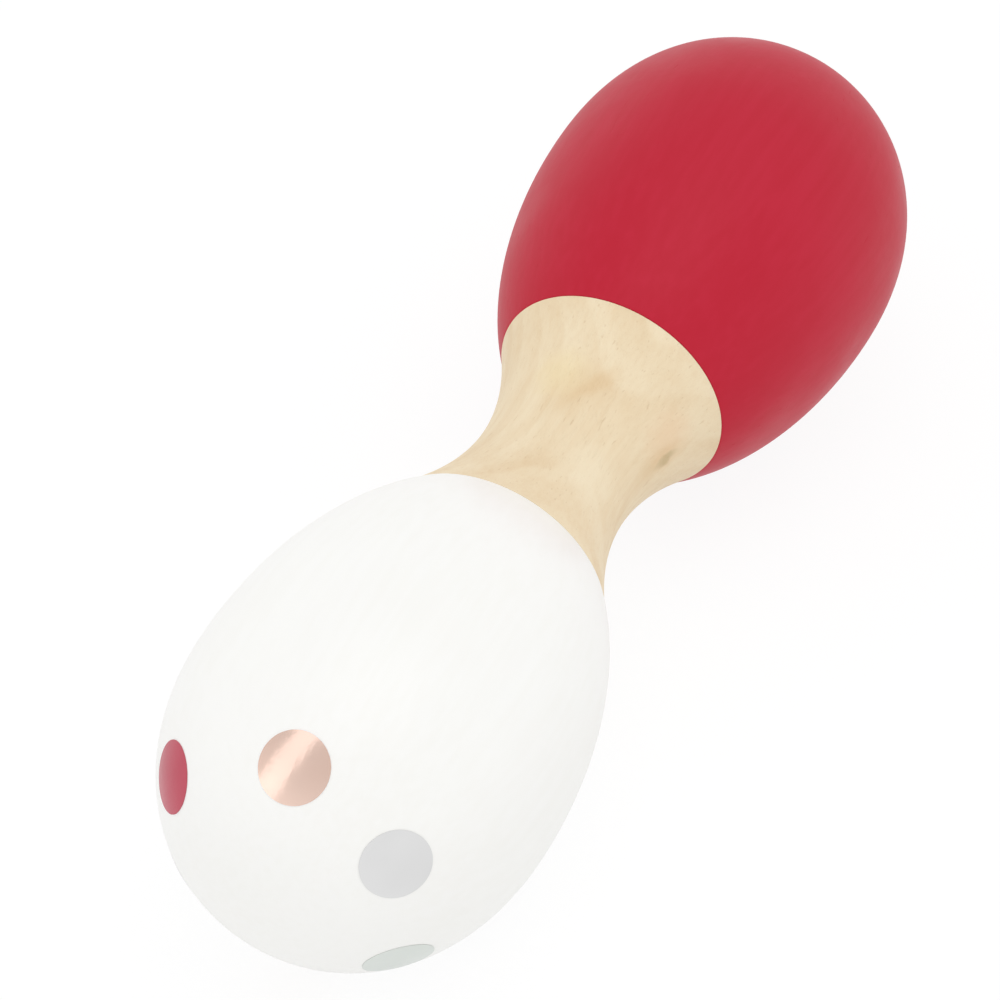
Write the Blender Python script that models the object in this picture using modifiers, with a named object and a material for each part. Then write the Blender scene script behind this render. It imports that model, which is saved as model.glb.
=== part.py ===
"""Double maraca for a small child: two egg-shaped rattle heads glued on a waisted wooden grip.

Metres, +Z up. The maraca lies on its two bellies, as it does on a table: its long axis runs along X at the
height of a head's radius, the red head is at +X and the white head at -X, and the origin is on the table
under the middle of the grip. Each head is one turned egg, bored from its neck. The grip's spigot closes the
bore, and loose balls lie in a row along the lowest line of the chamber that is left.
"""

import math

import bpy

# Heads: egg-shaped, largest at the belly, painted from the neck to the tip.
HEAD_DIAMETER = 0.0470
NECK_DIAMETER = 0.0300
NECK_LENGTH = 0.0307        # neck face to the middle of the belly
TIP_LENGTH = 0.0280         # middle of the belly to the free end
BELLY_BAND = 0.0040         # straight stretch that the head lies on
TIP_FULLNESS = 2.08         # how blunt the free end is: 2 is a plain half ellipse, more is blunter

# Grip: the bare wood between the heads.
GRIP_LENGTH = 0.0336
GRIP_DIAMETER = 0.0202      # at the waist
GRIP_FLARE = math.radians(28.0)  # how steeply the grip widens where it meets a head

# Bore of each head, and the spigot that closes it.
MOUTH_WALL = 0.0030         # wood left around the bore at the neck
TIP_WALL = 0.0095           # wood left between the bore and the free end
SPIGOT_LENGTH = 0.0090
GLUE_GAP = 0.0003

# Loose balls.
BALL_COUNT = 9              # in each head
BALL_DIAMETER = 0.0035
BALL_CLEARANCE = 0.0003     # gap between a ball and the wall that it lies on

# Fineness of the round shapes.
SIDES = 32
ARC_STEPS = 12
GRIP_STEPS = 12
BALL_SEGMENTS = 12
BALL_RINGS = 8
MERGE_DISTANCE = 0.00002
SHARP_EDGE = math.radians(35.0)

# Radii and stations along the long axis, measured from the middle of the grip.
HEAD_RADIUS = HEAD_DIAMETER / 2
NECK_RADIUS = NECK_DIAMETER / 2
GRIP_RADIUS = GRIP_DIAMETER / 2
BALL_RADIUS = BALL_DIAMETER / 2
SHOULDER = GRIP_LENGTH / 2
MOUTH = SHOULDER + GLUE_GAP
BELLY = MOUTH + NECK_LENGTH
TIP = BELLY + TIP_LENGTH
BORE_RADIUS = NECK_RADIUS - MOUTH_WALL
BORE_END = TIP - TIP_WALL
SPIGOT_RADIUS = BORE_RADIUS - GLUE_GAP
SPIGOT_END = SHOULDER + SPIGOT_LENGTH
BALL_ORBIT = BORE_RADIUS - BALL_CLEARANCE - BALL_RADIUS
AXIS_HEIGHT = HEAD_RADIUS

# A round section has flat sides that touch the true circle, so its corners stand a little outside it.
CORNER = 1 / math.cos(math.pi / SIDES)

TOWARDS_RED = 1
TOWARDS_WHITE = -1


def clear_scene():
    """Remove every object, so that the model starts from an empty scene."""
    for old in list(bpy.data.objects):
        bpy.data.objects.remove(old, do_unlink=True)


def make_collection(name):
    """Add a collection for the maraca's parts to the scene."""
    group = bpy.data.collections.new(name)
    bpy.context.scene.collection.children.link(group)
    return group


def make_material(name, colour, roughness, metallic=0.0):
    """Make a Principled material from a linear RGB colour."""
    material = bpy.data.materials.new(name)
    material.use_nodes = True
    shader = material.node_tree.nodes["Principled BSDF"]
    shader.inputs["Base Color"].default_value = (*colour, 1.0)
    shader.inputs["Roughness"].default_value = roughness
    shader.inputs["Metallic"].default_value = metallic
    return material


def head_profile():
    """Outline of a bored head as (radius, station) pairs, from the tip down its outside and up its bore."""
    half_band = BELLY_BAND / 2
    tip_reach = TIP_LENGTH - half_band
    tip_power = 2 / TIP_FULLNESS
    neck_turn = math.acos(NECK_RADIUS / HEAD_RADIUS)
    neck_reach = (NECK_LENGTH - half_band) / math.sin(neck_turn)
    outline = [(0.0, TIP)]
    for step in range(1, ARC_STEPS + 1):
        turn = math.pi / 2 * step / ARC_STEPS
        station = BELLY + half_band + tip_reach * math.cos(turn) ** tip_power
        outline.append((HEAD_RADIUS * math.sin(turn) ** tip_power, station))
    for step in range(ARC_STEPS + 1):
        turn = neck_turn * step / ARC_STEPS
        outline.append((HEAD_RADIUS * math.cos(turn), BELLY - half_band - neck_reach * math.sin(turn)))
    outline += [(BORE_RADIUS, MOUTH), (BORE_RADIUS, BORE_END), (0.0, BORE_END)]
    return outline


def grip_radius_at(station):
    """Radius of the grip: a cubic, level at the waist, that leaves the shoulder at the flare's slope."""
    share = abs(station) / SHOULDER
    rise = NECK_RADIUS - GRIP_RADIUS
    flare = math.tan(GRIP_FLARE) * SHOULDER
    return GRIP_RADIUS + rise * share**2 * (3 - 2 * share) + flare * share**2 * (share - 1)


def handle_profile():
    """Outline of the handle as (radius, station) pairs, from one spigot's end face to the other's."""
    stations = [SHOULDER * (1 - step / GRIP_STEPS) for step in range(2 * GRIP_STEPS + 1)]
    outline = [(0.0, SPIGOT_END), (SPIGOT_RADIUS, SPIGOT_END), (SPIGOT_RADIUS, SHOULDER)]
    outline += [(grip_radius_at(station), station) for station in stations]
    outline += [(SPIGOT_RADIUS, -SHOULDER), (SPIGOT_RADIUS, -SPIGOT_END), (0.0, -SPIGOT_END)]
    return outline


def turn_part(name, profile, side, material, group):
    """Turn a profile about the maraca's long axis into a solid.

    The profile's stations grow towards the red head for side 1 and towards the white head for side -1. The
    solid is turned by half a flat side about its own axis, so that a flat and not a corner lies lowest.
    """
    mesh = bpy.data.meshes.new(name)
    points = [(radius * CORNER, 0.0, station) for radius, station in profile]
    mesh.from_pydata(points, [(i, i + 1) for i in range(len(points) - 1)], [])
    part = bpy.data.objects.new(name, mesh)
    group.objects.link(part)
    screw = part.modifiers.new("turning", "SCREW")
    screw.steps = SIDES
    screw.render_steps = SIDES
    screw.use_merge_vertices = True
    screw.merge_threshold = MERGE_DISTANCE
    bpy.context.view_layer.objects.active = part
    bpy.ops.object.modifier_apply(modifier=screw.name)
    part.rotation_mode = "ZYX"
    part.rotation_euler = (0.0, side * math.pi / 2, math.pi / SIDES)
    part.location = (0.0, 0.0, AXIS_HEIGHT)
    finish_round(part, material)
    return part


def finish_round(part, material):
    """Shade a round part smooth up to its sharp edges and give it its material."""
    part.data.shade_smooth()
    part.data.set_sharp_from_angle(angle=SHARP_EDGE)
    part.data.materials.append(material)


def ball_stations():
    """Stations of a head's balls, laid in one row with equal gaps from the spigot to the end of the bore."""
    chamber = BORE_END - SPIGOT_END
    gap = (chamber - BALL_COUNT * BALL_DIAMETER) / (BALL_COUNT + 1)
    first = SPIGOT_END + gap + BALL_RADIUS
    return [first + index * (BALL_DIAMETER + gap) for index in range(BALL_COUNT)]


def add_balls(prefix, side, material, group):
    """Lay a head's balls along the lowest line of its bore, under an empty on the bore's axis."""
    axis = bpy.data.objects.new(prefix + "_bore_axis", None)
    axis.location = (side * (SPIGOT_END + BORE_END) / 2, 0.0, AXIS_HEIGHT)
    group.objects.link(axis)
    for number, station in enumerate(ball_stations(), start=1):
        bpy.ops.mesh.primitive_uv_sphere_add(
            segments=BALL_SEGMENTS, ring_count=BALL_RINGS, radius=BALL_RADIUS)
        ball = bpy.context.object
        ball.name = f"{prefix}_ball_{number}"
        for holder in list(ball.users_collection):
            holder.objects.unlink(ball)
        group.objects.link(ball)
        ball.parent = axis
        ball.location = (side * station - axis.location.x, 0.0, -BALL_ORBIT)
        finish_round(ball, material)


def main():
    clear_scene()
    group = make_collection("double_maraca")
    bare_wood = make_material("bare_wood", (0.831, 0.701, 0.491), roughness=0.55)
    red_paint = make_material("red_paint", (0.515, 0.024, 0.038), roughness=0.38)
    white_paint = make_material("white_paint", (0.930, 0.930, 0.900), roughness=0.35)
    ball_wood = make_material("ball_wood", (0.610, 0.402, 0.205), roughness=0.50)
    turn_part("handle", handle_profile(), TOWARDS_RED, bare_wood, group)
    turn_part("red_head", head_profile(), TOWARDS_RED, red_paint, group)
    turn_part("white_head", head_profile(), TOWARDS_WHITE, white_paint, group)
    add_balls("red", TOWARDS_RED, ball_wood, group)
    add_balls("white", TOWARDS_WHITE, ball_wood, group)


main()
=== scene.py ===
"""Dress the double maraca: painted egg heads, a bare wooden grip, a ring of dots and loose beads inside.

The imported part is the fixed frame. Its long axis runs along X, with the red head at +X and the white head
at -X, and it lies on the floor at Z = 0. Sizes are in metres and come from the frame where it holds them.
"""

from __future__ import annotations

import logging
import math
import random
from abc import ABC, abstractmethod
from collections.abc import Callable, Iterator, Sequence
from contextlib import contextmanager
from dataclasses import dataclass
from enum import Enum
from typing import NamedTuple

import bmesh
import bpy
from mathutils import Euler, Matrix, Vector

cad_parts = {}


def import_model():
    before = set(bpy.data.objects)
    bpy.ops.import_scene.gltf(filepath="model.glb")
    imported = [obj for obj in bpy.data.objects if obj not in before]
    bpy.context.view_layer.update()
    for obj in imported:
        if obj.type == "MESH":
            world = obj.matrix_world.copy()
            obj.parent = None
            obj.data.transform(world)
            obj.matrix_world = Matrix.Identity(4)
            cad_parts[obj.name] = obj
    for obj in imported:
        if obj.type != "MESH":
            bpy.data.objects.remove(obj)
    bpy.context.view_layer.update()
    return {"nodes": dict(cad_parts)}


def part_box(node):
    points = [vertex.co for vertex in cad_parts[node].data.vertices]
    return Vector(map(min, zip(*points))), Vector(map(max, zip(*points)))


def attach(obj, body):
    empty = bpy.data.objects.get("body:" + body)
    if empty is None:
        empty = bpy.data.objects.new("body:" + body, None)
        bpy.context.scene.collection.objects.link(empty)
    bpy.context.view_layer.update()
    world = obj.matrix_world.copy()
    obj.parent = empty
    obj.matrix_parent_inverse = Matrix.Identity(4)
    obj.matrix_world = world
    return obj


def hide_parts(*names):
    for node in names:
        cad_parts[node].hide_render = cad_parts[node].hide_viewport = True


LOG = logging.getLogger("double_maraca")
ROOT_BODY = "maraca"
MM = 0.001

Triple = tuple[float, float, float]
Colour = tuple[float, float, float]
Span = tuple[float, float]
Outline = list[tuple[float, float]]
Inputs = dict[str | int, object]
Material = bpy.types.Material
Node = bpy.types.Node
Outputs = bpy.types.NodeOutputs
Piece = bpy.types.Object
Socket = bpy.types.NodeSocket
Tree = bpy.types.NodeTree


class End(Enum):
    """A head of the maraca. The value is the side of the middle that it is on, along X."""

    RED = 1
    WHITE = -1

    @property
    def label(self) -> str:
        """Colour word that the names of the head's own things start with."""
        return self.name.lower()

    @property
    def node(self) -> str:
        """Name of the head's node in the frame."""
        return f"{self.label}_head"

    @property
    def ball_prefix(self) -> str:
        """Start of the names of the head's ball nodes in the frame."""
        return f"{self.label}_ball_"


@dataclass(frozen=True)
class Sizes:
    """Sizes that several pieces share, in metres. Stations run along X from the middle of the grip."""

    axis_height: float
    head_radius: float
    neck_radius: float
    mouth: float
    tip: float
    spigot_end: float
    neck_length: float = 30.7 * MM
    glue_gap: float = 0.3 * MM
    mouth_wall: float = 3.0 * MM
    tip_wall: float = 9.5 * MM

    @classmethod
    def from_frame(cls) -> Sizes:
        """Read the shared sizes from the boxes of the frame's nodes.

        Returns:
            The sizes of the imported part.
        """
        handle_low, handle_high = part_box("handle")
        head_low, head_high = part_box(End.RED.node)
        return cls(
            axis_height=(handle_low.z + handle_high.z) / 2,
            head_radius=(head_high.y - head_low.y) / 2,
            neck_radius=(handle_high.y - handle_low.y) / 2,
            mouth=head_low.x,
            tip=head_high.x,
            spigot_end=handle_high.x,
        )

    @property
    def belly(self) -> float:
        """Station of a head's widest place."""
        return self.mouth + self.neck_length

    @property
    def bore_radius(self) -> float:
        """Radius of a head's bore."""
        return self.neck_radius - self.mouth_wall

    @property
    def bore_end(self) -> float:
        """Station of the flat end of a head's bore."""
        return self.tip - self.tip_wall

    @property
    def spigot_radius(self) -> float:
        """Radius of the handle's spigots."""
        return self.bore_radius - self.glue_gap


def in_metres(sizes_mm: Triple) -> Triple:
    """Three sizes in metres, from millimetres."""
    x, y, z = sizes_mm
    return (x * MM, y * MM, z * MM)


def grey(level: float) -> tuple[float, float, float, float]:
    """An opaque grey for a colour socket."""
    return (level, level, level, 1.0)


@dataclass(frozen=True)
class Pattern:
    """A cloudy pattern: its repeats in a metre along X and across it, its fineness and its turn."""

    along: float
    across: float
    layers: float = 2.0
    layer_weight: float = 0.5
    turn: Triple = (0.0, 0.0, 0.0)

    @property
    def repeats(self) -> Triple:
        """Repeats in a metre along X, Y and Z."""
        return (self.along, self.across, self.across)


class NodeBench:
    """A shader node tree, with short ways to add nodes and wire them."""

    COLOUR_MIX_INPUTS = (0, 6, 7)
    COLOUR_MIX_OUTPUT = 2

    def __init__(self, tree: Tree) -> None:
        """Keep the tree to work on."""
        self.tree = tree

    @classmethod
    def emptied(cls, owner: Material | bpy.types.World) -> NodeBench:
        """Take the first nodes out of a material or a world.

        Args:
            owner: The material or the world.

        Returns:
            The bench of its empty tree.
        """
        owner.use_nodes = True
        owner.node_tree.nodes.clear()
        return cls(owner.node_tree)

    def feed(self, target: Socket, value: object) -> None:
        """Wire a socket into an input, or set the input to a constant.

        Args:
            target: The input socket.
            value: An output socket, a number, or a tuple of numbers.
        """
        if isinstance(value, Socket):
            self.tree.links.new(value, target)
        else:
            target.default_value = value

    def fill(self, node: Node, inputs: Inputs) -> None:
        """Feed a node's inputs, given by input name or number."""
        for key, value in inputs.items():
            self.feed(node.inputs[key], value)

    def add(self, kind: str, inputs: Inputs | None = None, **settings: object) -> Node:
        """Add a node.

        Args:
            kind: The node's type name.
            inputs: What feeds the node's inputs, by input name or number.
            **settings: The node's own properties.

        Returns:
            The new node.
        """
        node = self.tree.nodes.new(kind)
        for name, value in settings.items():
            setattr(node, name, value)
        self.fill(node, inputs or {})
        return node

    def math(self, operation: str, *values: object) -> Socket:
        """Add a Math node and return its value."""
        return self.add("ShaderNodeMath", dict(enumerate(values)), operation=operation).outputs[0]

    def vector(self, operation: str, *values: object) -> Socket:
        """Add a Vector Math node and return its vector, or its value for a length."""
        node = self.add("ShaderNodeVectorMath", dict(enumerate(values)), operation=operation)
        return node.outputs["Value" if operation == "LENGTH" else "Vector"]

    def weighed(self, start: object, *parts: tuple[object, object]) -> Socket:
        """Add values up, each by its own share.

        Args:
            start: What the sum starts from.
            *parts: Pairs of a value and its share.

        Returns:
            The sum.
        """
        total = start
        for value, share in parts:
            total = self.math("MULTIPLY_ADD", value, share, total)
        return total

    def clouds(self, place: Socket, pattern: Pattern) -> Node:
        """Add a cloudy pattern.

        Args:
            place: The place to draw it on.
            pattern: The pattern.

        Returns:
            The Noise Texture node, whose values are near 0.5 on average.
        """
        spread = {"Vector": place, "Rotation": pattern.turn, "Scale": pattern.repeats}
        drawn_out = self.add("ShaderNodeMapping", spread).outputs["Vector"]
        fineness = {"Scale": 1.0, "Detail": pattern.layers, "Roughness": pattern.layer_weight}
        return self.add("ShaderNodeTexNoise", {"Vector": drawn_out, **fineness})

    def noise(self, place: Socket, pattern: Pattern) -> Socket:
        """Add a cloudy pattern and return its value."""
        return self.clouds(place, pattern).outputs["Fac"]

    def wander(self, place: Socket, pattern: Pattern, reach: Triple, still: float = 0.5) -> Socket:
        """Shift a place by a cloudy pattern, so that what is drawn on it bends.

        Args:
            place: The place to shift.
            pattern: The pattern that shifts it.
            reach: The shift along each axis, in metres, for a change of 1 in the pattern.
            still: The pattern's value that shifts nothing.

        Returns:
            The shifted place.
        """
        change = self.clouds(place, pattern).outputs["Color"]
        change = self.vector("SUBTRACT", change, (still, still, still))
        return self.vector("ADD", place, self.vector("MULTIPLY", change, reach))

    def remap(self, value: Socket, span: Span, to: Span = (0.0, 1.0)) -> Socket:
        """Map a value from one span to another with a smooth step, held at both ends.

        Args:
            value: The value.
            span: The span that it is read in.
            to: What the two ends of that span become.

        Returns:
            The mapped value.
        """
        low, high = span
        to_low, to_high = to
        ends = {"From Min": low, "From Max": high, "To Min": to_low, "To Max": to_high}
        node = self.add("ShaderNodeMapRange", {"Value": value, **ends}, interpolation_type="SMOOTHSTEP")
        return node.outputs["Result"]

    def blend(self, share: Socket, first: Socket | Colour, second: Socket | Colour) -> Socket:
        """Mix two colours.

        Args:
            share: The second colour's share.
            first: The first colour.
            second: The second colour.

        Returns:
            The mixed colour.
        """
        node = self.add("ShaderNodeMix", data_type="RGBA")
        for number, value in zip(self.COLOUR_MIX_INPUTS, (share, first, second)):
            self.feed(node.inputs[number], (*value, 1.0) if isinstance(value, tuple) else value)
        return node.outputs[self.COLOUR_MIX_OUTPUT]


class SocketKind(Enum):
    """What a node group's socket carries. The value is Blender's name for it."""

    VALUE = "NodeSocketFloat"
    VECTOR = "NodeSocketVector"


class Effect(Enum):
    """An effect that more than one finish or mark uses. The value is its node group's name."""

    SPRAYED_FILM = "sprayed_film"
    HANDLING_WEAR = "handling_wear"
    WOOD_FIGURE = "wood_figure"
    LOCAL_MARK = "local_mark"


class SharedEffects:
    """The node groups of the shared effects, each built once."""

    # Paint film.
    PEEL = Pattern(620.0, 620.0, 1.5, 0.45)
    PEEL_HEIGHT = 0.6
    GRIT = Pattern(3200.0, 3200.0)
    GRIT_HEIGHT = 0.12
    RAISED_GRAIN = Pattern(55.0, 900.0, 3.0, 0.55)
    FILM_CLOUD = Pattern(45.0, 45.0, 3.0, 0.55)

    # Handling wear.
    RUB = Pattern(70.0, 70.0, 4.0, 0.6)
    RUB_SPAN = (0.40, 0.72)
    SCRATCH_BEND = Pattern(60.0, 60.0, 1.0)
    SCRATCH_BEND_REACH = in_metres((6.0, 6.0, 6.0))
    SCRATCHES = (
        Pattern(30.0, 2400.0, 1.0, 0.4, turn=(0.3, 0.5, 1.1)),
        Pattern(30.0, 2400.0, 1.0, 0.4, turn=(1.2, -0.4, 0.2)),
    )
    SCRATCH_SPAN = (0.735, 0.775)
    SCRATCH_BREAKS = Pattern(140.0, 140.0, 1.0)
    SCRATCH_BREAK_SPAN = (0.48, 0.60)

    # Wood figure.
    RING_DRIFT = Pattern(22.0, 48.0, 2.5)
    RING_DRIFT_REACH = in_metres((0.0, 9.0, 9.0))
    RING_LEAN = (0.06, 1.0, 1.0)
    RING_RISE = (0.10, 0.84)
    RING_FALL = (0.84, 1.0)
    RING_DEPTH = Pattern(9.0, 70.0, 1.0)
    RING_DEPTH_SPAN = (0.3, 0.7)
    RING_DEPTH_RANGE = (0.35, 1.0)
    FIBRE = Pattern(70.0, 1500.0, 4.0, 0.6)
    PORE = Pattern(420.0, 7500.0)
    PORE_SPAN = (0.56, 0.70)
    FLECK = Pattern(520.0, 3000.0, 1.0)
    FLECK_SPAN = (0.685, 0.76)
    WOOD_CLOUD = Pattern(60.0, 130.0, 3.0, 0.55)

    # Marks in the wood.
    MARK_EDGE = Pattern(420.0, 420.0, 3.0, 0.6)
    MARK_EDGE_REACH = in_metres((2.0, 2.0, 2.0))
    MARK_SPAN = (0.15, 1.0)
    FALLING = (1.0, 0.0)

    def __init__(self) -> None:
        """Start with no group built."""
        self.makers: dict[Effect, Callable[[], Tree]] = {
            Effect.SPRAYED_FILM: self.sprayed_film,
            Effect.HANDLING_WEAR: self.handling_wear,
            Effect.WOOD_FIGURE: self.wood_figure,
            Effect.LOCAL_MARK: self.local_mark,
        }
        self.built: dict[Effect, Tree] = {}

    def place(self, bench: NodeBench, effect: Effect, inputs: Inputs) -> Outputs:
        """Put an effect into a material.

        Args:
            bench: The material's nodes.
            effect: The effect.
            inputs: What feeds the group's inputs, by name.

        Returns:
            The group node's outputs.
        """
        if effect not in self.built:
            self.built[effect] = self.makers[effect]()
        return bench.add("ShaderNodeGroup", inputs, node_tree=self.built[effect]).outputs

    @staticmethod
    def start(
            effect: Effect, inputs: dict[str, SocketKind], outputs: Sequence[str],
    ) -> tuple[NodeBench, Outputs, Node]:
        """Begin an effect's node group.

        Args:
            effect: The effect.
            inputs: Each input's name and what it carries.
            outputs: The names of the outputs, all values.

        Returns:
            The group's bench, the sockets that give its inputs, and its output node.
        """
        tree = bpy.data.node_groups.new(effect.value, "ShaderNodeTree")
        for key, kind in inputs.items():
            tree.interface.new_socket(name=key, in_out="INPUT", socket_type=kind.value)
        for key in outputs:
            tree.interface.new_socket(name=key, in_out="OUTPUT", socket_type=SocketKind.VALUE.value)
        source, sink = tree.nodes.new("NodeGroupInput"), tree.nodes.new("NodeGroupOutput")
        return NodeBench(tree), source.outputs, sink

    def sprayed_film(self) -> Tree:
        """Paint film: orange peel, the wood's grain showing through, and broad cloudiness.

        Returns:
            The group, with the outputs Height, Grain and Cloud.
        """
        bench, given, sink = self.start(
            Effect.SPRAYED_FILM,
            {"Place": SocketKind.VECTOR, "Grain Depth": SocketKind.VALUE},
            ("Height", "Grain", "Cloud"))
        place = given["Place"]
        grain = bench.noise(place, self.RAISED_GRAIN)
        height = bench.weighed(
            0.0,
            (bench.noise(place, self.PEEL), self.PEEL_HEIGHT),
            (bench.noise(place, self.GRIT), self.GRIT_HEIGHT),
            (grain, given["Grain Depth"]))
        bench.fill(sink, {"Height": height, "Grain": grain, "Cloud": bench.noise(place, self.FILM_CLOUD)})
        return bench.tree

    def handling_wear(self) -> Tree:
        """What small hands leave: rubbed patches and a few hair scratches.

        Returns:
            The group, with the outputs Rub and Scratch.
        """
        bench, given, sink = self.start(
            Effect.HANDLING_WEAR, {"Place": SocketKind.VECTOR}, ("Rub", "Scratch"))
        place = given["Place"]
        bent = bench.wander(place, self.SCRATCH_BEND, self.SCRATCH_BEND_REACH, still=0.0)
        lines = [bench.remap(bench.noise(bent, pattern), self.SCRATCH_SPAN) for pattern in self.SCRATCHES]
        breaks = bench.remap(bench.noise(place, self.SCRATCH_BREAKS), self.SCRATCH_BREAK_SPAN)
        bench.fill(sink, {
            "Rub": bench.remap(bench.noise(place, self.RUB), self.RUB_SPAN),
            "Scratch": bench.math("MULTIPLY", bench.math("MAXIMUM", *lines), breaks),
        })
        return bench.tree

    def wood_figure(self) -> Tree:
        """Wood that grew along X: yearly rings round a pith beside the piece, fibres, pores and flecks.

        Returns:
            The group, with the outputs Ring, Fibre, Pore, Fleck and Cloud.
        """
        bench, given, sink = self.start(
            Effect.WOOD_FIGURE,
            {"Place": SocketKind.VECTOR, "Pith": SocketKind.VECTOR, "Ring Width": SocketKind.VALUE},
            ("Ring", "Fibre", "Pore", "Fleck", "Cloud"))
        place = given["Place"]
        drifted = bench.wander(place, self.RING_DRIFT, self.RING_DRIFT_REACH)
        from_pith = bench.vector("SUBTRACT", drifted, given["Pith"])
        reach = bench.vector("LENGTH", bench.vector("MULTIPLY", from_pith, self.RING_LEAN))
        season = bench.math("FRACT", bench.math("DIVIDE", reach, given["Ring Width"]))
        rise = bench.remap(season, self.RING_RISE)
        late = bench.math("MULTIPLY", rise, bench.remap(season, self.RING_FALL, self.FALLING))
        depth = bench.noise(place, self.RING_DEPTH)
        depth = bench.remap(depth, self.RING_DEPTH_SPAN, self.RING_DEPTH_RANGE)
        bench.fill(sink, {
            "Ring": bench.math("MULTIPLY", late, depth),
            "Fibre": bench.noise(place, self.FIBRE),
            "Pore": bench.remap(bench.noise(place, self.PORE), self.PORE_SPAN),
            "Fleck": bench.remap(bench.noise(place, self.FLECK), self.FLECK_SPAN),
            "Cloud": bench.noise(place, self.WOOD_CLOUD),
        })
        return bench.tree

    def local_mark(self) -> Tree:
        """A soft-edged mark at one place, drawn out along its own line, with a wandering edge.

        Returns:
            The group, with the output Mask.
        """
        bench, given, sink = self.start(
            Effect.LOCAL_MARK,
            {"Place": SocketKind.VECTOR, "Centre": SocketKind.VECTOR, "Turn": SocketKind.VALUE,
             "Half Sizes": SocketKind.VECTOR},
            ("Mask",))
        edge = bench.wander(given["Place"], self.MARK_EDGE, self.MARK_EDGE_REACH)
        turning = {"Vector": bench.vector("SUBTRACT", edge, given["Centre"]), "Angle": given["Turn"]}
        along = bench.add("ShaderNodeVectorRotate", turning, rotation_type="Z_AXIS").outputs["Vector"]
        reach = bench.vector("LENGTH", bench.vector("DIVIDE", along, given["Half Sizes"]))
        bench.fill(sink, {"Mask": bench.remap(reach, self.MARK_SPAN, self.FALLING)})
        return bench.tree


class Surface(NamedTuple):
    """What changes over the surface of a finish. A height of 1 stands for the finish's own relief."""

    colour: Socket
    roughness: Socket
    height: Socket


@dataclass(frozen=True)
class Finish(ABC):
    """What every finish has: a name, the effects that it draws on, and the depth of its relief."""

    RELIEF = 0.03 * MM

    name: str
    effects: SharedEffects

    @abstractmethod
    def draw(self, bench: NodeBench, place: Socket) -> Surface:
        """Draw what changes over the surface, from the object coordinates."""

    @property
    @abstractmethod
    def even(self) -> dict[str, float]:
        """Shader values that are the same all over the surface, by input name."""

    def material(self) -> Material:
        """Build the finish's material.

        Returns:
            The material.
        """
        material = bpy.data.materials.new(self.name)
        material.use_nodes = True
        bench = NodeBench(material.node_tree)
        shader = material.node_tree.nodes["Principled BSDF"]
        colour, roughness, height = self.draw(bench, bench.add("ShaderNodeTexCoord").outputs["Object"])
        bump = bench.add("ShaderNodeBump", {"Height": height, "Distance": self.RELIEF, "Strength": 1.0})
        bench.fill(shader, {"Base Color": colour, "Roughness": roughness, "Normal": bump.outputs["Normal"]})
        bench.fill(shader, self.even)
        return material


@dataclass(frozen=True)
class SatinPaint(Finish):
    """Sprayed satin paint on turned wood."""

    # How much the film and its wear change the colour, the roughness and the height.
    GRAIN_DEPTH = 0.55
    GRAIN_THINNING = 0.5
    CLOUD_THINNING = 0.5
    THIN_SPAN = (0.38, 0.66)
    RUB_ROUGHNESS = -0.07
    SCRATCH_ROUGHNESS = 0.10
    CLOUD_ROUGHNESS = 0.05
    SCRATCH_HEIGHT = -0.25

    colour: Colour
    thin_colour: Colour
    roughness: float
    sheen_level: float

    @property
    def even(self) -> dict[str, float]:
        """The paint's sheen."""
        return {"Specular IOR Level": self.sheen_level}

    def draw(self, bench: NodeBench, place: Socket) -> Surface:
        """Draw the film, thin and thick, with its wear.

        Args:
            bench: The material's nodes.
            place: The object coordinates.

        Returns:
            The surface.
        """
        film = self.effects.place(
            bench, Effect.SPRAYED_FILM, {"Place": place, "Grain Depth": self.GRAIN_DEPTH})
        wear = self.effects.place(bench, Effect.HANDLING_WEAR, {"Place": place})
        thin = bench.weighed(
            0.0, (film["Cloud"], self.CLOUD_THINNING), (film["Grain"], self.GRAIN_THINNING))
        colour = bench.blend(bench.remap(thin, self.THIN_SPAN), self.colour, self.thin_colour)
        roughness = bench.weighed(
            self.roughness,
            (wear["Rub"], self.RUB_ROUGHNESS),
            (wear["Scratch"], self.SCRATCH_ROUGHNESS),
            (film["Cloud"], self.CLOUD_ROUGHNESS))
        height = bench.weighed(film["Height"], (wear["Scratch"], self.SCRATCH_HEIGHT))
        return Surface(colour, roughness, height)


@dataclass(frozen=True)
class WoodMark:
    """A natural mark in the wood: its place on the surface, its turn from the grain and its half sizes."""

    centre_mm: Triple
    turn_degrees: float
    half_sizes_mm: Triple
    colour: Colour
    strength: float

    def inputs(self, place: Socket) -> Inputs:
        """What feeds the mark's node group.

        Args:
            place: The object coordinates.

        Returns:
            The group's inputs by name.
        """
        return {
            "Place": place,
            "Centre": in_metres(self.centre_mm),
            "Turn": math.radians(-self.turn_degrees),
            "Half Sizes": in_metres(self.half_sizes_mm),
        }


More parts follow.
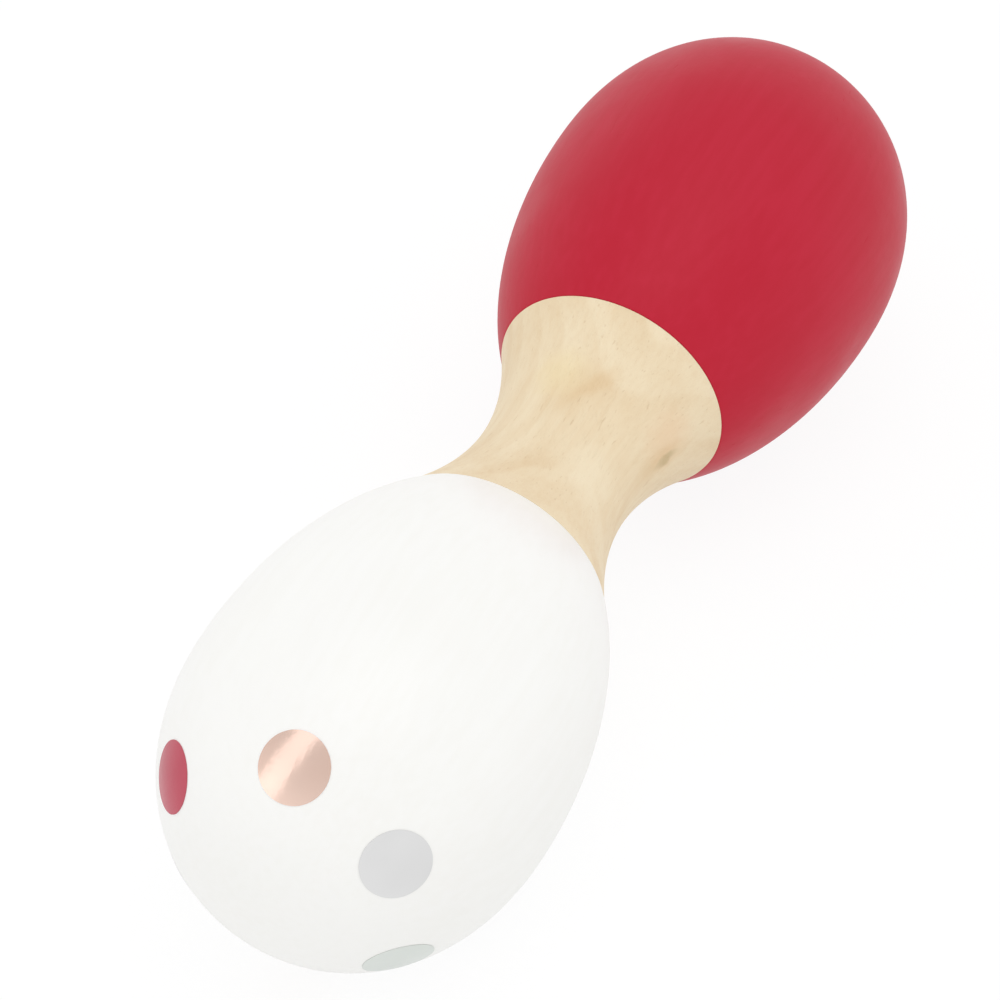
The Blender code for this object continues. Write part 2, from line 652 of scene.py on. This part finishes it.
@dataclass(frozen=True)
class BareWood(Finish):
    """Fine-sanded hardwood with a thin matt oil."""

    SHEEN_LEVEL = 0.35

    # How much the figure, the wear and the sanding change the colour, the roughness and the height.
    CLOUD_SPAN = (0.36, 0.68)
    FIBRE_SPAN = (0.35, 0.72)
    CLOUD_TONE = 0.34
    RING_TONE = 0.38
    FIBRE_TONE = 0.22
    PORE_TONE = 0.16
    FLECK_TONE = 0.26
    RUB_ROUGHNESS = -0.09
    FIBRE_ROUGHNESS = 0.08
    SANDING = Pattern(5200.0, 160.0, 2.0, 0.6)
    SANDING_HEIGHT = 0.35
    FIBRE_HEIGHT = -0.5
    FLECK_HEIGHT = -0.5
    PORE_HEIGHT = -0.45

    pale: Colour
    late: Colour
    fleck: Colour
    pith: Triple
    ring_width: float
    roughness: float
    marks: tuple[WoodMark, ...] = ()

    @property
    def even(self) -> dict[str, float]:
        """The oiled wood's sheen."""
        return {"Specular IOR Level": self.SHEEN_LEVEL}

    def draw(self, bench: NodeBench, place: Socket) -> Surface:
        """Draw the wood's figure and marks, with its wear and the traces of sanding.

        Args:
            bench: The material's nodes.
            place: The object coordinates.

        Returns:
            The surface.
        """
        figure = self.effects.place(
            bench, Effect.WOOD_FIGURE, {"Place": place, "Pith": self.pith, "Ring Width": self.ring_width})
        wear = self.effects.place(bench, Effect.HANDLING_WEAR, {"Place": place})
        fibre = bench.remap(figure["Fibre"], self.FIBRE_SPAN)
        colour = self.marked(bench, place, self.grown(bench, figure, fibre))
        roughness = bench.weighed(
            self.roughness, (wear["Rub"], self.RUB_ROUGHNESS), (fibre, self.FIBRE_ROUGHNESS))
        height = bench.weighed(
            0.0,
            (bench.noise(place, self.SANDING), self.SANDING_HEIGHT),
            (fibre, self.FIBRE_HEIGHT),
            (figure["Fleck"], self.FLECK_HEIGHT),
            (figure["Pore"], self.PORE_HEIGHT))
        return Surface(colour, roughness, height)

    def grown(self, bench: NodeBench, figure: Outputs, fibre: Socket) -> Socket:
        """Colour the wood by how it grew.

        Args:
            bench: The material's nodes.
            figure: The outputs of the wood's figure.
            fibre: How strongly the fibres show.

        Returns:
            The colour of the wood without its marks.
        """
        tone = bench.weighed(
            0.0,
            (bench.remap(figure["Cloud"], self.CLOUD_SPAN), self.CLOUD_TONE),
            (figure["Ring"], self.RING_TONE),
            (fibre, self.FIBRE_TONE),
            (figure["Pore"], self.PORE_TONE))
        fleck_share = bench.math("MULTIPLY", figure["Fleck"], self.FLECK_TONE)
        return bench.blend(fleck_share, bench.blend(tone, self.pale, self.late), self.fleck)

    def marked(self, bench: NodeBench, place: Socket, colour: Socket) -> Socket:
        """Lay the natural marks over the wood's colour.

        Args:
            bench: The material's nodes.
            place: The object coordinates.
            colour: The colour of the wood without its marks.

        Returns:
            The colour with the marks.
        """
        for mark in self.marks:
            mask = self.effects.place(bench, Effect.LOCAL_MARK, mark.inputs(place))["Mask"]
            colour = bench.blend(bench.math("MULTIPLY", mask, mark.strength), colour, mark.colour)
        return colour


@dataclass(frozen=True)
class PressedFoil(Finish):
    """Thin metallic foil pressed onto the paint, a little uneven."""

    RELIEF = 0.02 * MM

    # How much the film and its wear change the colour, the roughness and the height.
    GRAIN_DEPTH = 0.35
    DULL_SPAN = (0.35, 0.70)
    RUB_ROUGHNESS = 0.08
    SCRATCH_ROUGHNESS = 0.06

    colour: Colour
    deep_colour: Colour
    roughness: float

    @property
    def even(self) -> dict[str, float]:
        """Bare metal all over."""
        return {"Metallic": 1.0}

    def draw(self, bench: NodeBench, place: Socket) -> Surface:
        """Draw the foil, bright and dull, with its wear.

        Args:
            bench: The material's nodes.
            place: The object coordinates.

        Returns:
            The surface.
        """
        wear = self.effects.place(bench, Effect.HANDLING_WEAR, {"Place": place})
        film = self.effects.place(
            bench, Effect.SPRAYED_FILM, {"Place": place, "Grain Depth": self.GRAIN_DEPTH})
        colour = bench.blend(bench.remap(film["Cloud"], self.DULL_SPAN), self.colour, self.deep_colour)
        roughness = bench.weighed(
            self.roughness, (wear["Rub"], self.RUB_ROUGHNESS), (wear["Scratch"], self.SCRATCH_ROUGHNESS))
        return Surface(colour, roughness, film["Height"])


class Select(Enum):
    """What edit mode selects. The value is Blender's setting for it."""

    POINTS = (True, False, False)
    EDGES = (False, True, False)
    FACES = (False, False, True)


def pick(piece: Piece) -> None:
    """Select one piece alone and make it the active one.

    Args:
        piece: The piece.
    """
    bpy.ops.object.select_all(action="DESELECT")
    piece.select_set(True)
    bpy.context.view_layer.objects.active = piece


@contextmanager
def editing(piece: Piece, what: Select) -> Iterator[bmesh.types.BMesh]:
    """Open a piece in edit mode with nothing selected, and close it afterwards.

    Args:
        piece: The piece.
        what: What is to be selected.

    Returns:
        A context that holds the piece's open mesh.
    """
    pick(piece)
    bpy.ops.object.mode_set(mode="EDIT")
    bpy.context.tool_settings.mesh_select_mode = what.value
    bpy.ops.mesh.select_all(action="DESELECT")
    yield bmesh.from_edit_mesh(piece.data)
    bpy.ops.object.mode_set(mode="OBJECT")


def seat(piece: Piece, body: str, slot: str, *nodes: str) -> None:
    """Tie a finished piece to the frame.

    Args:
        piece: The piece.
        body: The body that it moves with.
        slot: A material slot's name; not used.
        *nodes: The frame's nodes that it stands for.
    """
    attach(piece, body)
    if nodes:
        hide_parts(*nodes)


def report(piece: Piece) -> None:
    """Report a finished piece."""
    LOG.info("%s: %d faces, %s", piece.name, len(piece.data.polygons), piece.data.materials[0].name)


@dataclass(frozen=True)
class Lathe:
    """Turns outlines about the maraca's long axis with edit-mode operators."""

    ROUND_PROFILE = 0.5

    axis_height: float
    sides: int = 160
    seed_size: float = 1.0 * MM
    merge_distance: float = 0.001 * MM
    near: float = 0.02 * MM
    sharp_degrees: float = 40.0

    def turn(self, name: str, outline: Outline) -> Piece:
        """Draw an outline from a single point and spin it into a closed solid.

        Args:
            name: The piece's name.
            outline: (station, radius) pairs that start and end on the axis.

        Returns:
            The piece, with its place in its mesh.
        """
        bpy.ops.object.select_all(action="DESELECT")
        bpy.ops.mesh.primitive_plane_add(size=self.seed_size, location=(0.0, 0.0, 0.0))
        piece = bpy.context.object
        piece.name = name
        points = [Vector((station, 0.0, self.axis_height + radius)) for station, radius in outline]
        with editing(piece, Select.POINTS):
            bpy.ops.mesh.select_all(action="SELECT")
            bpy.ops.mesh.merge(type="CENTER")
            bpy.ops.transform.translate(value=points[0])
            for here, there in zip(points, points[1:]):
                bpy.ops.mesh.extrude_region_move(TRANSFORM_OT_translate={"value": there - here})
            bpy.ops.mesh.select_all(action="SELECT")
            bpy.ops.mesh.spin(
                steps=self.sides, angle=math.tau, center=(0.0, 0.0, self.axis_height), axis=(1.0, 0.0, 0.0))
            bpy.ops.mesh.select_all(action="SELECT")
            bpy.ops.mesh.remove_doubles(threshold=self.merge_distance)
            bpy.ops.mesh.delete_loose()
            bpy.ops.mesh.select_all(action="SELECT")
            bpy.ops.mesh.normals_make_consistent(inside=False)
        return piece

    def radius_of(self, place: Vector) -> float:
        """Distance of a place from the long axis."""
        return math.hypot(place.y, place.z - self.axis_height)

    def round_ring(self, piece: Piece, station: float, radius: float, width: float, steps: int = 4) -> None:
        """Round one turned edge over.

        Args:
            piece: The turned piece.
            station: The edge's station along X.
            radius: The edge's radius.
            width: How far the rounding reaches from the edge.
            steps: The rounding's number of faces.
        """
        def on_edge(place: Vector) -> bool:
            """Whether a place lies on the edge."""
            return abs(place.x - station) < self.near and abs(self.radius_of(place) - radius) < self.near

        with editing(piece, Select.EDGES) as mesh:
            for edge in mesh.edges:
                edge.select_set(all(on_edge(corner.co) for corner in edge.verts))
            bmesh.update_edit_mesh(piece.data)
            bpy.ops.mesh.bevel(offset=width, segments=steps, profile=self.ROUND_PROFILE, affect="EDGES")

    @staticmethod
    def dress_faces(piece: Piece, slot: int, chosen: Callable[[Vector], bool]) -> None:
        """Give the faces at chosen places one of the piece's materials.

        Args:
            piece: The piece.
            slot: The number of the material's slot.
            chosen: Whether a face with this middle is meant.
        """
        with editing(piece, Select.FACES) as mesh:
            for face in mesh.faces:
                face.select_set(chosen(face.calc_center_median()))
            bmesh.update_edit_mesh(piece.data)
            piece.active_material_index = slot
            bpy.ops.object.material_slot_assign()

    def smooth(self, piece: Piece) -> None:
        """Shade a piece smooth up to its sharp edges."""
        pick(piece)
        bpy.ops.object.shade_smooth_by_angle(angle=math.radians(self.sharp_degrees))


@dataclass(frozen=True)
class Grip:
    """The waisted wooden handle, with the two spigots that close the heads."""

    sizes: Sizes
    lathe: Lathe
    wood: BareWood
    waist_radius: float = 10.1 * MM
    flare_degrees: float = 28.0
    steps: int = 36
    lip: float = 0.15 * MM
    glue_line: float = 0.03 * MM
    spigot_chamfer: float = 0.7 * MM

    @property
    def shoulder(self) -> float:
        """Station of the grip's shoulder, where the bare wood ends."""
        return self.sizes.mouth - self.glue_line

    def radius_at(self, station: float) -> float:
        """Radius of the bare wood at a station: level at the waist, flaring towards the shoulders.

        Args:
            station: The station along X.

        Returns:
            The radius.
        """
        share = abs(station) / self.shoulder
        rise = self.sizes.neck_radius - self.waist_radius
        flare = math.tan(math.radians(self.flare_degrees)) * self.shoulder
        return self.waist_radius + rise * share**2 * (3 - 2 * share) + flare * share**2 * (share - 1)

    def outline(self) -> Outline:
        """Outline from the red head's spigot, along the bare wood, to the white head's spigot.

        Returns:
            (station, radius) pairs.
        """
        end, spigot = self.sizes.spigot_end, self.sizes.spigot_radius
        half = [(end, 0.0), (end, spigot), (self.shoulder, spigot)]
        for step in range(self.steps):
            station = self.shoulder * (1 - step / self.steps)
            half.append((station, self.radius_at(station)))
        far_half = [(-station, radius) for station, radius in reversed(half)]
        return [*half, (0.0, self.waist_radius), *far_half]

    def build(self) -> Piece:
        """Turn the handle and round its edges.

        Returns:
            The handle's piece.
        """
        sizes = self.sizes
        piece = self.lathe.turn("grip", self.outline())
        for end in End:
            side = end.value
            self.lathe.round_ring(piece, side * self.shoulder, sizes.neck_radius, self.lip)
            self.lathe.round_ring(piece, side * sizes.spigot_end, sizes.spigot_radius, self.spigot_chamfer)
        return piece

    def dress(self, piece: Piece) -> None:
        """Finish the handle and tie it to the frame.

        Args:
            piece: The handle's piece.
        """
        piece.data.materials.append(self.wood.material())
        self.lathe.smooth(piece)
        seat(piece, ROOT_BODY, "bare_wood", "handle")


@dataclass(frozen=True)
class EggHead:
    """One egg-shaped head: a bored wooden egg, painted outside."""

    BORE_SLOT = 1

    end: End
    sizes: Sizes
    lathe: Lathe
    paint: SatinPaint
    tip_fullness: float = 2.18
    steps: int = 44
    lip: float = 0.15 * MM
    bore_corner: float = 1.2 * MM
    bore_slack: float = 0.1 * MM

    @property
    def tip_reach(self) -> float:
        """Length of the egg from its belly to its tip."""
        return self.sizes.tip - self.sizes.belly

    @property
    def neck_turn(self) -> float:
        """Angle on the neck's ellipse from the belly to the mouth."""
        return math.acos(self.sizes.neck_radius / self.sizes.head_radius)

    @property
    def neck_reach(self) -> float:
        """Half axis of the neck's ellipse along X."""
        return self.sizes.neck_length / math.sin(self.neck_turn)

    def outline(self) -> Outline:
        """Outline from the tip down the outside, round the mouth and up the bore.

        Returns:
            (station, radius) pairs, with stations measured away from the middle.
        """
        sizes = self.sizes
        power = 2 / self.tip_fullness
        points = [(sizes.tip, 0.0)]
        for step in range(1, self.steps + 1):
            turn = math.pi / 2 * step / self.steps
            station = sizes.belly + self.tip_reach * math.cos(turn) ** power
            points.append((station, sizes.head_radius * math.sin(turn) ** power))
        for step in range(1, self.steps + 1):
            turn = self.neck_turn * step / self.steps
            station = sizes.belly - self.neck_reach * math.sin(turn)
            points.append((station, sizes.head_radius * math.cos(turn)))
        bore = sizes.bore_radius
        return [*points, (sizes.mouth, bore), (sizes.bore_end, bore), (sizes.bore_end, 0.0)]

    def surface(self, from_tip: float, turn_degrees: float) -> tuple[Vector, Vector]:
        """A place on the tip's half of the painted surface.

        Args:
            from_tip: Distance from the tip along X.
            turn_degrees: Turn about the long axis, from straight up towards +Y.

        Returns:
            The place and the outward normal there.
        """
        sizes = self.sizes
        fullness = self.tip_fullness
        along = (self.tip_reach - from_tip) / self.tip_reach
        round_share = (1 - along**fullness) ** (1 / fullness)
        turn = math.radians(turn_degrees)
        outwards = Vector((0.0, math.sin(turn), math.cos(turn)))
        station = self.end.value * (sizes.tip - from_tip)
        place = Vector((station, 0.0, sizes.axis_height)) + outwards * sizes.head_radius * round_share
        lean = self.end.value * along ** (fullness - 1) / self.tip_reach
        normal = Vector((lean, 0.0, 0.0)) + outwards * round_share ** (fullness - 1) / sizes.head_radius
        return place, normal.normalized()

    def build(self) -> Piece:
        """Turn the head, round its lip and the bottom of its bore.

        Returns:
            The head's piece.
        """
        sizes = self.sizes
        side = self.end.value
        outline = [(side * station, radius) for station, radius in self.outline()]
        piece = self.lathe.turn(f"{self.end.label}_egg", outline)
        self.lathe.round_ring(piece, side * sizes.mouth, sizes.neck_radius, self.lip)
        self.lathe.round_ring(piece, side * sizes.mouth, sizes.bore_radius, self.lip)
        self.lathe.round_ring(piece, side * sizes.bore_end, sizes.bore_radius, self.bore_corner)
        return piece

    def dress(self, piece: Piece, bare_wood: Material) -> None:
        """Paint the outside, leave the bore bare and tie the head to the frame.

        Args:
            piece: The head's piece.
            bare_wood: The material of the bore.
        """
        bore_radius = self.sizes.bore_radius + self.lip / 2
        bore_end = self.sizes.bore_end + self.bore_slack

        def in_bore(place: Vector) -> bool:
            """Whether a face belongs to the bore."""
            return self.lathe.radius_of(place) < bore_radius and abs(place.x) < bore_end

        piece.data.materials.append(self.paint.material())
        piece.data.materials.append(bare_wood)
        self.lathe.dress_faces(piece, self.BORE_SLOT, in_bore)
        self.lathe.smooth(piece)
        seat(piece, ROOT_BODY, f"{self.end.label}_paint", self.end.node)


@dataclass(frozen=True)
class Dot:
    """One dot: its piece's name, its finish, and its place on the head."""

    name: str
    finish: PressedFoil
    turn_degrees: float
    from_tip: float


@dataclass(frozen=True)
class DotRing:
    """The ring of thin round dots near the white head's tip."""

    OUTWARDS = 1.0

    head: EggHead
    dots: tuple[Dot, ...]
    radius: float = 4.3 * MM
    sides: int = 72
    rings: int = 9
    film: float = 0.06 * MM
    lift: float = 0.01 * MM

    def build(self, dot: Dot, head_piece: Piece) -> Piece:
        """Model a thin disc on the head.

        Args:
            dot: The dot to make.
            head_piece: The head that it lies on.

        Returns:
            The dot's piece.
        """
        place, normal = self.head.surface(dot.from_tip, dot.turn_degrees)
        bpy.ops.object.select_all(action="DESELECT")
        bpy.ops.mesh.primitive_circle_add(
            vertices=self.sides, radius=self.radius, fill_type="NGON", location=place,
            rotation=normal.to_track_quat("Z", "Y").to_euler())
        piece = bpy.context.object
        piece.name = dot.name
        bpy.ops.object.transform_apply(location=True, rotation=True, scale=True)
        with editing(piece, Select.FACES):
            bpy.ops.mesh.select_all(action="SELECT")
            for _ in range(self.rings):
                bpy.ops.mesh.inset(thickness=self.radius / (self.rings + 1))
            bpy.ops.mesh.poke()
        self.lay(piece, head_piece)
        return piece

    def lay(self, piece: Piece, head_piece: Piece) -> None:
        """Press a flat dot onto the head and give it its thickness.

        Args:
            piece: The flat dot.
            head_piece: The head that it lies on.
        """
        onto = piece.modifiers.new("lay_on_head", "SHRINKWRAP")
        onto.target = head_piece
        onto.wrap_method = "NEAREST_SURFACEPOINT"
        onto.wrap_mode = "ABOVE_SURFACE"
        onto.offset = self.lift
        film = piece.modifiers.new("film", "SOLIDIFY")
        film.thickness = self.film
        film.offset = self.OUTWARDS
        for modifier in list(piece.modifiers):
            bpy.ops.object.modifier_apply(modifier=modifier.name)

    def dress(self, dot: Dot, piece: Piece) -> None:
        """Finish a dot and tie it to the frame.

        Args:
            dot: The dot.
            piece: The dot's piece.
        """
        piece.data.materials.append(dot.finish.material())
        self.head.lathe.smooth(piece)
        seat(piece, ROOT_BODY, "white_paint")


@dataclass(frozen=True)
class BeadRow:
    """The loose wooden beads of one head."""

    end: End
    wood: Material
    lathe: Lathe = Lathe(axis_height=0.0, sides=32)
    steps: int = 20
    flat_degrees: float = 13.5
    flat_edge: float = 0.06 * MM
    flat_edge_steps: int = 2
    seed: int = 7

    def nodes(self, names: Sequence[str]) -> list[str]:
        """Names of the head's ball nodes, in order."""
        return sorted(name for name in names if name.startswith(self.end.ball_prefix))

    def build(self, names: Sequence[str]) -> dict[str, Piece]:
        """Model one bead, with the small flats that turning leaves, and copy it to every ball's place.

        Args:
            names: The names of the frame's nodes.

        Returns:
            Each bead by the name of the node that it stands for.
        """
        turns = random.Random(self.seed * self.end.value)
        first_node, *other_nodes = self.nodes(names)
        low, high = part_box(first_node)
        first = self.model((high - low).z / 2)
        beads = {first_node: first, **{node: self.copy(first) for node in other_nodes}}
        for number, (node, bead) in enumerate(beads.items(), start=1):
            low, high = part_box(node)
            bead.name = f"{self.end.label}_bead_{number}"
            pick(bead)
            bead.location = (low + high) / 2
            bead.rotation_euler = Euler([turns.uniform(0.0, math.tau) for _ in range(3)])
            bpy.ops.object.transform_apply(location=True, rotation=True, scale=True)
        return beads

    def model(self, radius: float) -> Piece:
        """Turn a bead at the origin and round the edges of its two flats.

        Args:
            radius: The bead's radius.

        Returns:
            The bead.
        """
        first = math.radians(self.flat_degrees)
        turns = [first + (math.pi - 2 * first) * step / self.steps for step in range(self.steps + 1)]
        arc = [(radius * math.cos(turn), radius * math.sin(turn)) for turn in turns]
        flat, flat_radius = arc[0]
        bead = self.lathe.turn("bead", [(flat, 0.0), *arc, (-flat, 0.0)])
        for station in (flat, -flat):
            self.lathe.round_ring(bead, station, flat_radius, self.flat_edge, self.flat_edge_steps)
        return bead

    @staticmethod
    def copy(bead: Piece) -> Piece:
        """Copy a bead with a mesh of its own.

        Args:
            bead: The bead to copy.

        Returns:
            The copy.
        """
        pick(bead)
        bpy.ops.object.duplicate(linked=False)
        return bpy.context.object

    def dress(self, beads: dict[str, Piece]) -> None:
        """Finish the beads and tie each to its own body.

        Args:
            beads: Each bead by the name of its node, which is also its body's name.
        """
        for node, bead in beads.items():
            bead.data.materials.append(self.wood)
            self.lathe.smooth(bead)
            seat(bead, node, "ball_wood", node)


@dataclass(frozen=True)
class Lamp:
    """A soft lamp: where it stands, its size and its power."""

    name: str
    place: Triple
    size: tuple[float, float]
    watts: float


@dataclass(frozen=True)
class Studio:
    """Pale floor, soft light and the camera."""

    sizes: Sizes
    azimuth_degrees: float = -64.290
    elevation_degrees: float = 45.080
    distance: float = 621.1 * MM
    shift_right: float = -6.280 * MM
    shift_up: float = -2.500 * MM
    lens_mm: float = 184.36
    sensor_mm: float = 36.0
    floor_size: float = 6.0
    floor_grey: float = 0.88
    floor_shade: float = 0.105
    floor_glow: float = 0.906
    sky_span: Span = (0.05, 0.85)
    sky_strengths: Span = (1.10, 0.78)
    lamps: tuple[Lamp, ...] = (
        Lamp("overhead_softbox", (0.05, -0.16, 1.08), (0.95, 0.95), 2.1),
        Lamp("strip_light", (-0.640, 0.335, 0.78), (0.24, 1.00), 0.40),
    )

    @property
    def middle(self) -> Vector:
        """Middle of the maraca, which the lamps face and the camera is measured from."""
        return Vector((0.0, 0.0, self.sizes.axis_height))

    def build(self) -> None:
        """Set up the floor, the sky, the lamps, the camera and the plain view."""
        self.floor()
        self.sky()
        for lamp in self.lamps:
            self.lamp(lamp)
        self.camera()
        bpy.context.scene.view_settings.view_transform = "Standard"

    def floor(self) -> None:
        """Lay a pale floor that looks white to the camera and keeps the maraca's shadow."""
        bpy.ops.object.select_all(action="DESELECT")
        bpy.ops.mesh.primitive_plane_add(size=self.floor_size, location=(0.0, 0.0, 0.0))
        floor = bpy.context.object
        floor.name = "floor"
        material = bpy.data.materials.new("pale_floor")
        bench = NodeBench.emptied(material)
        rays = bench.add("ShaderNodeLightPath").outputs
        seen = bench.math("MAXIMUM", rays["Is Camera Ray"], rays["Is Glossy Ray"])
        seen = bench.math("MAXIMUM", seen, rays["Is Transmission Ray"])
        plain = bench.add("ShaderNodeBsdfDiffuse", {"Color": grey(self.floor_grey)})
        shaded = bench.add("ShaderNodeBsdfDiffuse", {"Color": grey(self.floor_shade)})
        glow = bench.add("ShaderNodeEmission", {"Color": grey(1.0), "Strength": self.floor_glow})
        white = bench.add("ShaderNodeAddShader", {0: shaded.outputs[0], 1: glow.outputs[0]})
        both = bench.add("ShaderNodeMixShader", {0: seen, 1: plain.outputs[0], 2: white.outputs[0]})
        bench.add("ShaderNodeOutputMaterial", {"Surface": both.outputs[0]})
        floor.data.materials.append(material)

    def sky(self) -> None:
        """Surround the maraca with soft light, white near the floor and dimmer overhead."""
        world = bpy.data.worlds.new("soft_studio")
        bpy.context.scene.world = world
        bench = NodeBench.emptied(world)
        direction = bench.add("ShaderNodeTexCoord").outputs["Generated"]
        height = bench.add("ShaderNodeSeparateXYZ", {0: direction}).outputs["Z"]
        strength = bench.remap(height, self.sky_span, self.sky_strengths)
        rays = bench.add("ShaderNodeLightPath").outputs
        strength = bench.math("MAXIMUM", strength, rays["Is Camera Ray"])
        light = bench.add("ShaderNodeBackground", {"Color": grey(1.0), "Strength": strength})
        bench.add("ShaderNodeOutputWorld", {"Surface": light.outputs[0]})

    def lamp(self, lamp: Lamp) -> None:
        """Hang one soft lamp, turned towards the middle of the maraca.

        Args:
            lamp: The lamp to hang.
        """
        data = bpy.data.lights.new(lamp.name, "AREA")
        data.shape = "RECTANGLE"
        data.size, data.size_y = lamp.size
        data.energy = lamp.watts
        light = bpy.data.objects.new(lamp.name, data)
        bpy.context.scene.collection.objects.link(light)
        light.location = lamp.place
        beam = self.middle - Vector(lamp.place)
        light.rotation_euler = beam.to_track_quat("-Z", "Y").to_euler()

    def camera(self) -> None:
        """Stand the camera where the photograph was taken from."""
        data = bpy.data.cameras.new("photo_camera")
        data.sensor_width = self.sensor_mm
        data.lens = self.lens_mm
        camera = bpy.data.objects.new("photo_camera", data)
        bpy.context.scene.collection.objects.link(camera)
        turn, rise = math.radians(self.azimuth_degrees), math.radians(self.elevation_degrees)
        back = Vector((math.sin(turn) * math.cos(rise), -math.cos(turn) * math.cos(rise), math.sin(rise)))
        right = Vector((math.cos(turn), math.sin(turn), 0.0))
        up = back.cross(right)
        camera.location = self.middle + back * self.distance + right * self.shift_right + up * self.shift_up
        camera.rotation_euler = back.to_track_quat("Z", "Y").to_euler()
        bpy.context.scene.camera = camera


class FoilTint(Enum):
    """A foil's look. The value is its colour, its deeper colour and its roughness."""

    RED = ((0.530, 0.092, 0.130), (0.455, 0.060, 0.092), 0.24)
    ROSE_COPPER = ((0.868, 0.648, 0.556), (0.835, 0.555, 0.445), 0.13)
    SILVER_GREY = ((0.765, 0.765, 0.765), (0.715, 0.715, 0.715), 0.30)
    PALE_SAGE = ((0.700, 0.737, 0.702), (0.640, 0.680, 0.645), 0.30)


@dataclass(frozen=True)
class Paintbox:
    """The finishes of this maraca."""

    effects: SharedEffects

    def grip_wood(self) -> BareWood:
        """Pale hardwood of the grip, with its natural marks.

        Returns:
            The wood.
        """
        tan = (0.720, 0.500, 0.265)
        pale = WoodMark((-4.2, -6.8, 31.2), 0.0, (6.5, 7.0, 7.0), (0.930, 0.830, 0.620), 0.50)
        blush = WoodMark((9.5, -11.2, 27.2), 0.0, (5.5, 4.5, 5.0), (0.830, 0.550, 0.330), 0.36)
        gold = WoodMark((7.2, 2.2, 34.2), 0.0, (5.0, 5.0, 4.0), (0.860, 0.700, 0.360), 0.32)
        glow = WoodMark((5.6, -1.0, 34.1), -31.0, (7.5, 4.2, 4.0), tan, 0.26)
        smear = WoodMark((6.9, -2.2, 34.3), -31.0, (5.4, 1.7, 2.4), tan, 0.38)
        halo = WoodMark((7.3, -11.0, 24.9), -17.0, (6.0, 3.0, 2.6), tan, 0.34)
        knot = WoodMark((8.3, -11.3, 24.4), -17.0, (3.0, 1.6, 1.0), (0.420, 0.330, 0.150), 0.46)
        return BareWood(
            "grip_wood", self.effects, pale=(0.868, 0.735, 0.520), late=(0.765, 0.585, 0.365),
            fleck=(0.560, 0.370, 0.190), pith=in_metres((0.0, 21.0, -4.0)), ring_width=3.1 * MM,
            roughness=0.56, marks=(pale, blush, gold, glow, smear, halo, knot))

    def bead_wood(self) -> BareWood:
        """Darker hardwood of the beads."""
        return BareWood(
            "bead_wood", self.effects, pale=(0.640, 0.430, 0.225), late=(0.500, 0.300, 0.135),
            fleck=(0.330, 0.180, 0.080), pith=in_metres((0.0, 9.0, 30.0)), ring_width=0.9 * MM,
            roughness=0.49)

    def red_paint(self) -> SatinPaint:
        """Satin red of one head."""
        return SatinPaint(
            "red_satin", self.effects, colour=(0.500, 0.008, 0.029), thin_colour=(0.522, 0.011, 0.036),
            roughness=0.45, sheen_level=0.24)

    def white_paint(self) -> SatinPaint:
        """Satin white of the other head."""
        return SatinPaint(
            "white_satin", self.effects, colour=(0.942, 0.940, 0.918), thin_colour=(0.928, 0.924, 0.895),
            roughness=0.37, sheen_level=0.5)

    def foil(self, name: str, tint: FoilTint) -> PressedFoil:
        """Foil of one dot."""
        return PressedFoil(name, self.effects, *tint.value)

    def dots(self) -> tuple[Dot, ...]:
        """The dots round the white head's tip, each with a finish of its own.

        Returns:
            The dots.
        """
        copper, silver = FoilTint.ROSE_COPPER, FoilTint.SILVER_GREY
        return (
            Dot("dot_red", self.foil("red_foil", FoilTint.RED), 64.7, 7.5 * MM),
            Dot("dot_copper", self.foil("copper_foil", copper), -2.4, 7.3 * MM),
            Dot("dot_silver", self.foil("silver_foil", silver), -60.1, 6.3 * MM),
            Dot("dot_sage", self.foil("sage_foil", FoilTint.PALE_SAGE), -124.0, 6.8 * MM),
            Dot("dot_copper_far", self.foil("copper_foil_far", copper), 177.5, 8.8 * MM),
            Dot("dot_silver_far", self.foil("silver_foil_far", silver), 123.0, 8.8 * MM),
        )


def main() -> None:
    """Load the frame, build, dress and report every piece, and set the studio up."""
    logging.basicConfig(level=logging.INFO, format="%(name)s: %(message)s")
    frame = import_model()
    sizes = Sizes.from_frame()
    lathe = Lathe(sizes.axis_height)
    paintbox = Paintbox(SharedEffects())
    grip = Grip(sizes, lathe, paintbox.grip_wood())
    grip_piece = grip.build()
    grip.dress(grip_piece)
    report(grip_piece)
    bare_wood = grip_piece.data.materials[0]
    heads = {
        End.RED: EggHead(End.RED, sizes, lathe, paintbox.red_paint()),
        End.WHITE: EggHead(End.WHITE, sizes, lathe, paintbox.white_paint()),
    }
    head_pieces: dict[End, Piece] = {}
    for end, head in heads.items():
        head_pieces[end] = head.build()
        head.dress(head_pieces[end], bare_wood)
        report(head_pieces[end])
    ring = DotRing(heads[End.WHITE], paintbox.dots())
    for dot in ring.dots:
        dot_piece = ring.build(dot, head_pieces[End.WHITE])
        ring.dress(dot, dot_piece)
        report(dot_piece)
    bead_wood = paintbox.bead_wood().material()
    for end in End:
        row = BeadRow(end, bead_wood)
        beads = row.build(list(frame["nodes"]))
        row.dress(beads)
        for bead in beads.values():
            report(bead)
    Studio(sizes).build()


if __name__ == "__main__":
    main()
